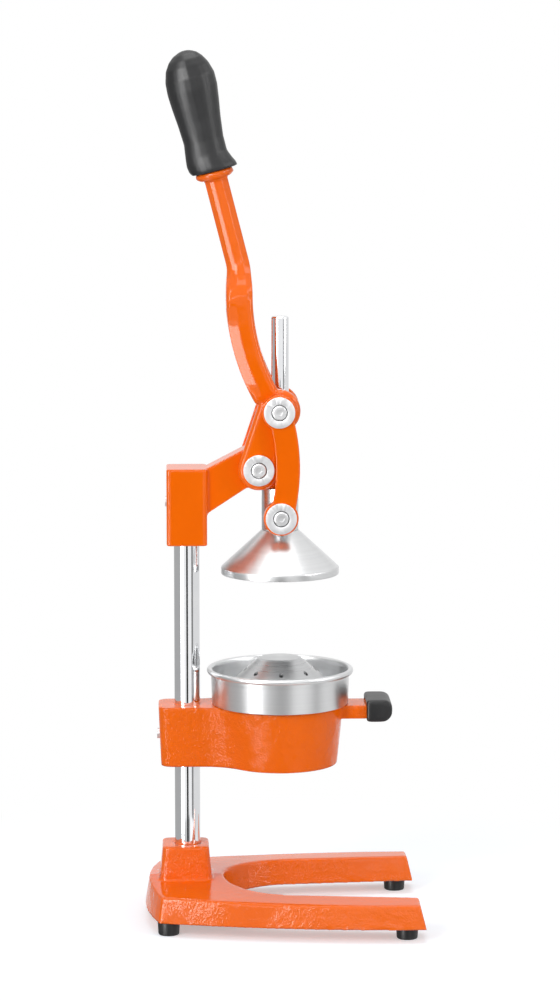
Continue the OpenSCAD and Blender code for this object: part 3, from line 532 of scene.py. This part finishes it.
def zinc_on_washers_painted_shade():
    """Zinc plate with painted shade: near black in the recesses round the screws' heads, where the
    narrow gap round each head lies in shade.
    """
    finish, tree, shader = new_finish("zinc_plate_washers_painted_shade")
    marks = place_group(tree, "marks", Size=140.0, Contrast=2.2)["Marks"]
    shader.inputs["Metallic"].default_value = 1.0
    where = tree.nodes.new("ShaderNodeTexCoord")
    flat = node_of(tree, "ShaderNodeVectorMath", operation="MULTIPLY")
    flat.inputs[1].default_value = (1.0, 0.0, 1.0)
    tree.links.new(where.outputs["Object"], flat.inputs[0])
    nearest = 1.0
    for x, z in (lever_pivot, link_top, link_foot):
        off = node_of(tree, "ShaderNodeVectorMath", operation="DISTANCE")
        off.inputs[1].default_value = (x * MM, 0.0, z * MM)
        tree.links.new(flat.outputs[0], off.inputs[0])
        nearest = maths(tree, "MINIMUM", off.outputs["Value"], nearest)
    # Painted shade: inside the recess round each pivot screw's head the zinc is coloured near
    # black (0.08 grey).
    painted_shade_in_recess = maths(tree, "LESS_THAN", nearest, (recess_r + 0.05) * MM)
    tree.links.new(
        blend_of(tree, painted_shade_in_recess, (0.78, 0.78, 0.79), (0.08, 0.08, 0.08)), shader.inputs["Base Color"])
    tree.links.new(between(tree, marks, 0.34, 0.40), shader.inputs["Roughness"])
    return finish


def lathe_steel(name, colours, roughnesses, stretch, depth_mm):
    """Sheet or bar steel with rings round the press axis, which stretch its highlights."""
    finish, tree, shader = new_finish(name)
    rings = place_group(tree, "lines")
    shader.inputs["Metallic"].default_value = 1.0
    tree.links.new(blend_of(tree, rings["Tone"], *colours), shader.inputs["Base Color"])
    tree.links.new(between(tree, rings["Tone"], *roughnesses), shader.inputs["Roughness"])
    shader.inputs["Anisotropic"].default_value = stretch
    round_way = node_of(tree, "ShaderNodeTangent", direction_type="RADIAL", axis="Z")
    tree.links.new(round_way.outputs["Tangent"], shader.inputs["Tangent"])
    bump(tree, shader, rings["Height"], 0.35, depth_mm)
    return finish


def polished_stainless():
    return lathe_steel(
        "polished_stainless", ((0.62, 0.625, 0.63), (0.72, 0.725, 0.73)), (0.28, 0.35), 0.1, 0.02)


def brushed_stainless():
    return lathe_steel(
        "brushed_stainless", ((0.50, 0.505, 0.51), (0.60, 0.605, 0.61)), (0.24, 0.34), 0.5, 0.03)


def turned_steel():
    return lathe_steel(
        "turned_steel", ((0.62, 0.625, 0.63), (0.72, 0.725, 0.73)), (0.2, 0.3), 0.4, 0.03)


def dark_rubber():
    finish, tree, shader = new_finish("dark_rubber")
    marks = place_group(tree, "marks", Size=45.0, Contrast=2.0)["Marks"]
    tree.links.new(
        blend_of(tree, marks, (0.010, 0.010, 0.0105), (0.016, 0.016, 0.017)),
        shader.inputs["Base Color"])
    tree.links.new(between(tree, marks, 0.34, 0.46), shader.inputs["Roughness"])
    shader.inputs["Specular IOR Level"].default_value = 0.42
    grain = place_group(tree, "enamel", Wave=900.0, Peel=2600.0, Share=0.5)
    bump(tree, shader, grain["Height"], 0.25, 0.08)
    return finish


enamel = orange_enamel()
chrome = chrome_plate()
polished = polished_stainless()
satin = brushed_stainless()
lathe_finish = turned_steel()
plain_zinc = zinc_plate()
screw_zinc = zinc_on_screws()
washer_zinc_painted_shade = zinc_on_washers_painted_shade()
bronze = bronze_bush()
rubber = dark_rubber()


# Enamelled castings

def base_casting():
    cast("base_casting", "enamelled_base", "stand", enamel, 1.0, 14)


def head_casting():
    cast("head_casting", "enamelled_head", "stand", enamel, 0.7, 6)


def cup_holder():
    cast("cup_holder", "enamelled_holder", "stand", enamel, 0.85, 7)


def lever_cheek(side):
    """One cheek of the fork: the pivot's boss, the link's boss and the curved arm."""
    outline = [
        (-32.13, 360.21), ("bend", lever_pivot, -221.4, 30),
        (6.65, 385.76), ("bend", link_top, -152.3, 22),
        (-1.86, 416.27), ("bend", arm_centre, arm_sweep, 16),
        (-41.87, 486.7), ("bend", arm_centre, -arm_sweep, 16),
        (-16.97, 405.76),
    ]
    return plate(outline, side * cheek_inner, side * cheek_outer, cheek_rim)


def lever_bar():
    """The crown that closes the fork, drawn in to the flat bar."""
    return drawn_bar([
        ((-31.35, 478.0), 4.2, 10.25, 21.4, 7.0, 0.05, 4.2),
        ((-31.66, 486.0), 0.8, 10.25, 21.4, 7.0, 0.05, 4.2),
        ((-31.66, 490.0), 0.3, 10.25, 21.0, 6.9, 0.12, 4.2),
        ((-31.66, 493.5), 0.0, 10.15, 19.9, 6.8, 0.24, 4.3),
        ((-31.66, 497.0), 0.5, 10.0, 17.9, 6.5, 0.36, 4.6),
        ((-31.70, 501.0), 1.5, 9.7, 14.4, 6.1, bar_slope, 5.0),
        ((-31.75, 505.0), 3.5, 9.35, 11.2, 5.6, bar_slope, 5.3),
        ((-31.90, 509.0), 6.5, 9.1, 9.3, 5.2, bar_slope, 5.4),
        ((-32.60, 513.0), 10.0, 8.97, 8.4, 4.9, bar_slope, 5.4),
        ((-33.65, 517.2), bar_lean, 8.95, 8.0, 4.6, bar_slope, 5.4),
        (bar_end, bar_lean, 8.95, 8.0, 4.2, bar_slope, 5.4),
    ])


def lever_collar():
    return lean_on_bar(turned([
        (0.0, -0.8), (11.8, -0.8), (14.8, 1.5), (14.8, 3.5), (14.1, 5.2), (0.0, 5.2)],
        closed=False))


def lever_tang():
    return lean_on_bar(turned([(0.0, 4.0), (6.5, 4.0), (6.5, 71.2), (0.0, 71.2)], closed=False))


def slope_arm(mesh):
    """Slopes the outer faces of the curved arm away from the ridge along its left side."""
    for corner in mesh.vertices:
        x, y, z = corner.co / MM
        if arm_ridge_low < z < arm_ridge_high + 4.0 and abs(y) > cheek_inner:
            past = math.hypot(x - arm_centre[0], z - arm_centre[1]) - arm_ridge_r
            share = min(
                1.0, (z - arm_ridge_low) / arm_ridge_run_in,
                max(0.0, arm_ridge_high - z) / arm_ridge_run_out)
            sloped = cheek_outer - arm_slope * max(0.0, past) * share
            corner.co.y = math.copysign(min(abs(y), sloped), y) * MM


def lever():
    whole = join([lever_cheek(1), lever_cheek(-1), lever_bar(), lever_collar(), lever_tang()])
    to_metres(whole)
    mesh = run_round(
        whole, "enamelled_lever", 0.7, 9,
        bores=[(lever_pivot, axle_bore_r), (link_top, screw_bore_r)])
    slope_arm(mesh)
    place_piece(mesh, "enamelled_lever", "lever", "lever", enamel)


def links():
    cast("link_near", "enamelled_link_near", "links", enamel, 0.6, 5)
    cast("link_far", "enamelled_link_far", "links", enamel, 0.6, 5)


# Rubber mouldings

def grip():
    """A hand grip, drawn out to a ridge along the mould's parting line on both sides."""
    mesh = run_round(blank_of("grip"), "moulded_grip", 0.8, 9)
    way = math.radians(bar_lean)
    for corner in mesh.vertices:
        x, _, z = corner.co / MM
        across = (x - bar_end[0]) * math.cos(way) + (z - bar_end[1]) * math.sin(way)
        spread = ridge_left if across < ridge_at else ridge_right
        corner.co.y *= 1.0 + ridge_share * max(0.0, 1.0 - abs(across - ridge_at) / spread)
    place_piece(mesh, "moulded_grip", "lever", "grip", rubber)


def bumper():
    cast("bumper", "moulded_bumper", "stand", rubber, 1.2, 30)


def feet():
    places = {
        "foot_front_left": (95.0, 78.04), "foot_front_right": (95.0, -78.04),
        "foot_rear_left": (-87.8, 60.08), "foot_rear_right": (-87.8, -60.08),
    }
    for node, (x, y) in places.items():
        foot = turned([
            (2.53, 4.5), (5.0, 4.5), (5.0, 0.0), (7.4, 0.0), (8.1, 0.8), (8.65, 10.0),
            (2.53, 10.0)])
        break_edges(foot, 0.35)
        fit(move(foot, x, y), "rubber_" + node, "stand", node, rubber)


# Turned pieces

def column():
    bar = turned([
        (5.03, 24.4), (9.2, 24.4), (10.0, 25.2), (10.0, 345.1), (9.2, 345.9), (0.0, 345.9),
        (0.0, 50.4), (5.03, 50.4)])
    break_edges(bar, 0.3)
    fit(move(bar, column_x), "chromed_column", "stand", "column", chrome)


def plunger_rod():
    rod = turned([
        (0.0, 318.2), (5.95, 318.2), (6.75, 319.0), (6.75, 471.0), (5.75, 472.2), (0.0, 472.2)],
        closed=False)
    break_edges(rod, 0.35)
    fit(rod, "chromed_rod", "plunger", "plunger_rod", chrome)


def crosshead():
    cast("crosshead", "turned_crosshead", "plunger", lathe_finish, 0.5, 3)


def bell():
    cone = turned([
        (4.03, 306.0), (14.38, 306.0), (44.76, 277.8), (45.8, 276.8), (45.8, 271.8),
        (44.6, 271.8), (44.6, 276.2), (43.0, 277.5), (13.8, 304.8), (4.03, 304.8)])
    break_edges(cone, 0.45, 4)
    fit(cone, "pressed_bell", "plunger", "bell", polished)


def juice_bowl():
    bowl = turned([
        (52.7, 193.2), (52.0, 170.8), (43.8, 170.8), (43.8, 154.2), (8.0, 137.2), (8.0, 129.6),
        (9.2, 129.6), (9.2, 136.6), (45.0, 153.6), (45.0, 169.6), (53.2, 169.6), (53.8, 193.495),
        ("bend", (54.9, 195.4), -290, 16)])
    break_edges(bowl, 0.5)
    fit(bowl, "pressed_bowl", "stand", "juice_bowl", polished, 40.0)


def washer():
    """A flat washer with a recess that the screw's head sits down in."""
    ring = turned([
        (screw_bore_r, 0.0), (washer_r, 0.0), (washer_r, washer_t), (recess_r, washer_t),
        (recess_r, recess_floor), (screw_bore_r, recess_floor)])
    break_edges(ring, 0.25)
    return ring


def washers():
    for node, name, place, seat, body in (
            ("lever_axle_washers", "lever_pivot_washers", lever_pivot, 21.7, "stand"),
            ("link_top_washers", "link_top_pivot_washers", link_top, 28.1, "lever"),
            ("link_bottom_washers", "link_foot_pivot_washers", link_foot, 28.1, "links")):
        pair = [lay_across(washer(), place, seat, outward) for outward in (1, -1)]
        fit(join(pair), name, body, node, washer_zinc_painted_shade, 15.0)


base_casting()
head_casting()
cup_holder()
lever()
links()
grip()
bumper()
feet()
column()
plunger_rod()
crosshead()
bell()
juice_bowl()
washers()

# The rest show the frame's solids as they are, with a finish
for solid_name, finish in {
        "strainer": satin, "rod_bush": bronze, "rod_pin": plain_zinc, "bell_screw": plain_zinc,
        "foot_screws": plain_zinc, "column_bolt": plain_zinc, "column_washer": plain_zinc,
        "lever_axle": plain_zinc, "link_top_sleeves": plain_zinc,
        "link_bottom_sleeves": plain_zinc, "head_grub_screw": screw_zinc,
        "holder_grub_screw": screw_zinc, "lever_axle_screws": screw_zinc,
        "link_top_screws": screw_zinc, "link_bottom_screws": screw_zinc}.items():
    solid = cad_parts[solid_name]
    solid.data.materials.clear()
    solid.data.materials.append(finish)


# Studio, in metres

# Light on matt faces from all round, and what the floor adds to its own white
sky_level = 0.46
floor_lift = 0.40

# The floor is plain white from here outwards
floor_fade_from = 0.16
floor_fade_to = 0.42

# Cards that the shiny pieces reflect: from and to degrees round the press, from the camera's
# side to the right, then foot, top and brightness
card_distance = 2.6
cards = {
    "card_front": (-8.5, 6.6, -1.1, 0.25, 0.02),
    "card_left": (-160.0, -62.0, -0.8, 1.6, 0.45),
    "shoulder_left": (-62.0, -52.0, -0.8, 1.6, 1.8),
    "strip_left": (-52.0, -38.0, -1.0, 4.0, 11.0),
    "strip_inner": (-38.0, -30.0, -0.8, 1.6, 2.2),
    "card_right": (38.0, 54.0, -0.8, 1.6, 0.25),
    "card_far_right": (54.0, 150.0, -0.8, 1.6, 0.82),
    "card_high": (-34.0, 24.0, 0.92, 1.15, 5.5),
    "strip_right": (62.0, 100.0, 0.4, 2.4, 4.0),
    "low_rear_left": (-180.0, -120.0, -2.8, -0.8, 0.1),
    "low_left": (-120.0, -62.0, -2.8, -0.8, 0.5),
    "low_light_left": (-62.0, -38.0, -2.8, -1.0, 0.9),
    "low_middle": (-38.0, -8.5, -2.8, -0.8, 0.62),
    "low_front": (-8.5, 6.6, -2.8, -1.1, 0.6),
    "low_shade": (6.6, 19.0, -2.8, -0.8, 0.45),
    "low_light_right": (19.0, 54.0, -2.8, -0.8, 1.2),
    "low_line_right": (58.0, 72.0, -2.8, -0.8, 0.28),
    "low_far_right": (120.0, 180.0, -2.8, -0.8, 0.2),
}

# The camera's place: degrees round the press, distance, height, and the height it looks at
eye_degrees = -2.0
eye_distance = 2.925
eye_height = 0.745
look_height = 0.329
lens_mm = 137.2


def seen_plainly(tree):
    """1 where the camera looks, also by way of a mirror or glass; 0 for light on matt faces."""
    ray = tree.nodes.new("ShaderNodeLightPath")
    seen = maths(tree, "MAXIMUM", ray.outputs["Is Camera Ray"], ray.outputs["Is Glossy Ray"])
    return maths(tree, "MAXIMUM", seen, ray.outputs["Is Transmission Ray"])


def studio_finish(name):
    """A material with nothing but its output."""
    finish = bpy.data.materials.new(name)
    finish.use_nodes = True
    finish.node_tree.nodes.clear()
    return finish, finish.node_tree, finish.node_tree.nodes.new("ShaderNodeOutputMaterial")


def floor_finish():
    """Pale and matt near the press, plain white away from it."""
    finish, tree, ends = studio_finish("studio_floor")
    plain = (1.0, 1.0, 1.0, 1.0)
    matt = node_of(tree, "ShaderNodeBsdfDiffuse", Color=(0.72, 0.77, 0.82, 1.0))
    lift = node_of(tree, "ShaderNodeEmission", Color=plain)
    white = node_of(tree, "ShaderNodeEmission", Color=plain, Strength=1.0)
    seen = seen_plainly(tree)
    tree.links.new(maths(tree, "MULTIPLY", seen, floor_lift), lift.inputs["Strength"])
    near = tree.nodes.new("ShaderNodeAddShader")
    tree.links.new(matt.outputs[0], near.inputs[0])
    tree.links.new(lift.outputs[0], near.inputs[1])
    where = tree.nodes.new("ShaderNodeTexCoord")
    away = node_of(tree, "ShaderNodeVectorMath", operation="LENGTH")
    tree.links.new(where.outputs["Object"], away.inputs[0])
    fade = node_of(tree, "ShaderNodeMapRange", interpolation_type="SMOOTHSTEP", **{
        "From Min": floor_fade_from, "From Max": floor_fade_to})
    tree.links.new(away.outputs["Value"], fade.inputs["Value"])
    mix = tree.nodes.new("ShaderNodeMixShader")
    tree.links.new(maths(tree, "MULTIPLY", fade.outputs["Result"], seen), mix.inputs["Fac"])
    tree.links.new(near.outputs[0], mix.inputs[1])
    tree.links.new(white.outputs[0], mix.inputs[2])
    tree.links.new(mix.outputs[0], ends.inputs["Surface"])
    return finish


def studio_floor():
    """A pale floor that keeps the press's soft shadow."""
    shape = bmesh.new()
    bmesh.ops.create_circle(shape, cap_ends=True, segments=64, radius=6.0)
    floor = set_out("studio_floor", mesh_of(shape, "studio_floor"))
    floor.data.materials.append(floor_finish())
    floor.visible_glossy = False


def studio_card(name, from_deg, to_deg, foot, top, tone):
    """A standing card, curved round the press, that only shiny pieces see."""
    shape = bmesh.new()
    low = shape.verts.new((0, -card_distance, foot))
    high = bmesh.ops.extrude_vert_indiv(shape, verts=[low])["verts"][0]
    high.co = (0, -card_distance, top)
    turn(shape, from_deg, "Z")
    bmesh.ops.spin(
        shape, geom=shape.verts[:] + shape.edges[:], cent=(0, 0, 0), axis=(0, 0, 1),
        angle=math.radians(to_deg - from_deg), steps=24, use_duplicate=False)
    card = set_out(name, mesh_of(shape, name))
    finish, tree, ends = studio_finish(name)
    glow = node_of(tree, "ShaderNodeEmission", Color=(tone, tone, tone, 1.0), Strength=1.0)
    tree.links.new(glow.outputs[0], ends.inputs["Surface"])
    card.data.materials.append(finish)
    card.visible_camera = False
    card.visible_diffuse = False
    card.visible_shadow = False
    card.visible_transmission = False


def studio_world():
    """Even soft light all round, seen as white."""
    world = bpy.data.worlds.new("studio")
    bpy.context.scene.world = world
    world.use_nodes = True
    tree = world.node_tree
    sky = tree.nodes["Background"]
    sky.inputs["Color"].default_value = (1.0, 1.0, 1.0, 1.0)
    tree.links.new(between(tree, seen_plainly(tree), sky_level, 1.0), sky.inputs["Strength"])


def aim(thing, place, at):
    thing.location = place
    thing.rotation_mode = "QUATERNION"
    thing.rotation_quaternion = (Vector(at) - Vector(place)).to_track_quat("-Z", "Y")


def soft_box(name, place, at, width, height, watts):
    lamp = bpy.data.lights.new(name, "AREA")
    lamp.shape = "RECTANGLE"
    lamp.size = width
    lamp.size_y = height
    lamp.energy = watts
    aim(set_out(name, lamp), place, at)


def camera():
    """The photograph's view: a long lens, a little to the left and a little above."""
    lens = bpy.data.cameras.new("camera")
    lens.lens = lens_mm
    lens.sensor_width = 36.0
    lens.clip_start = 0.1
    lens.clip_end = 50.0
    eye = set_out("camera", lens)
    way = math.radians(eye_degrees)
    place = (eye_distance * math.sin(way), -eye_distance * math.cos(way), eye_height)
    aim(eye, place, (0, 0, look_height))
    bpy.context.scene.camera = eye


studio_floor()
studio_world()
for card_name, sizes_and_tone in cards.items():
    studio_card(card_name, *sizes_and_tone)
soft_box("front_box", (-1.05, -1.55, 1.15), (0, 0, 0.3), 0.5, 0.9, 17.5)
soft_box("side_box", (1.6, -0.9, 0.9), (0, 0, 0.3), 0.35, 1.2, 8.0)
soft_box("top_box", (0.0, 0.1, 1.8), (0, 0, 0.2), 1.0, 1.0, 8.5)
camera()
bpy.context.scene.view_settings.view_transform = "Standard"
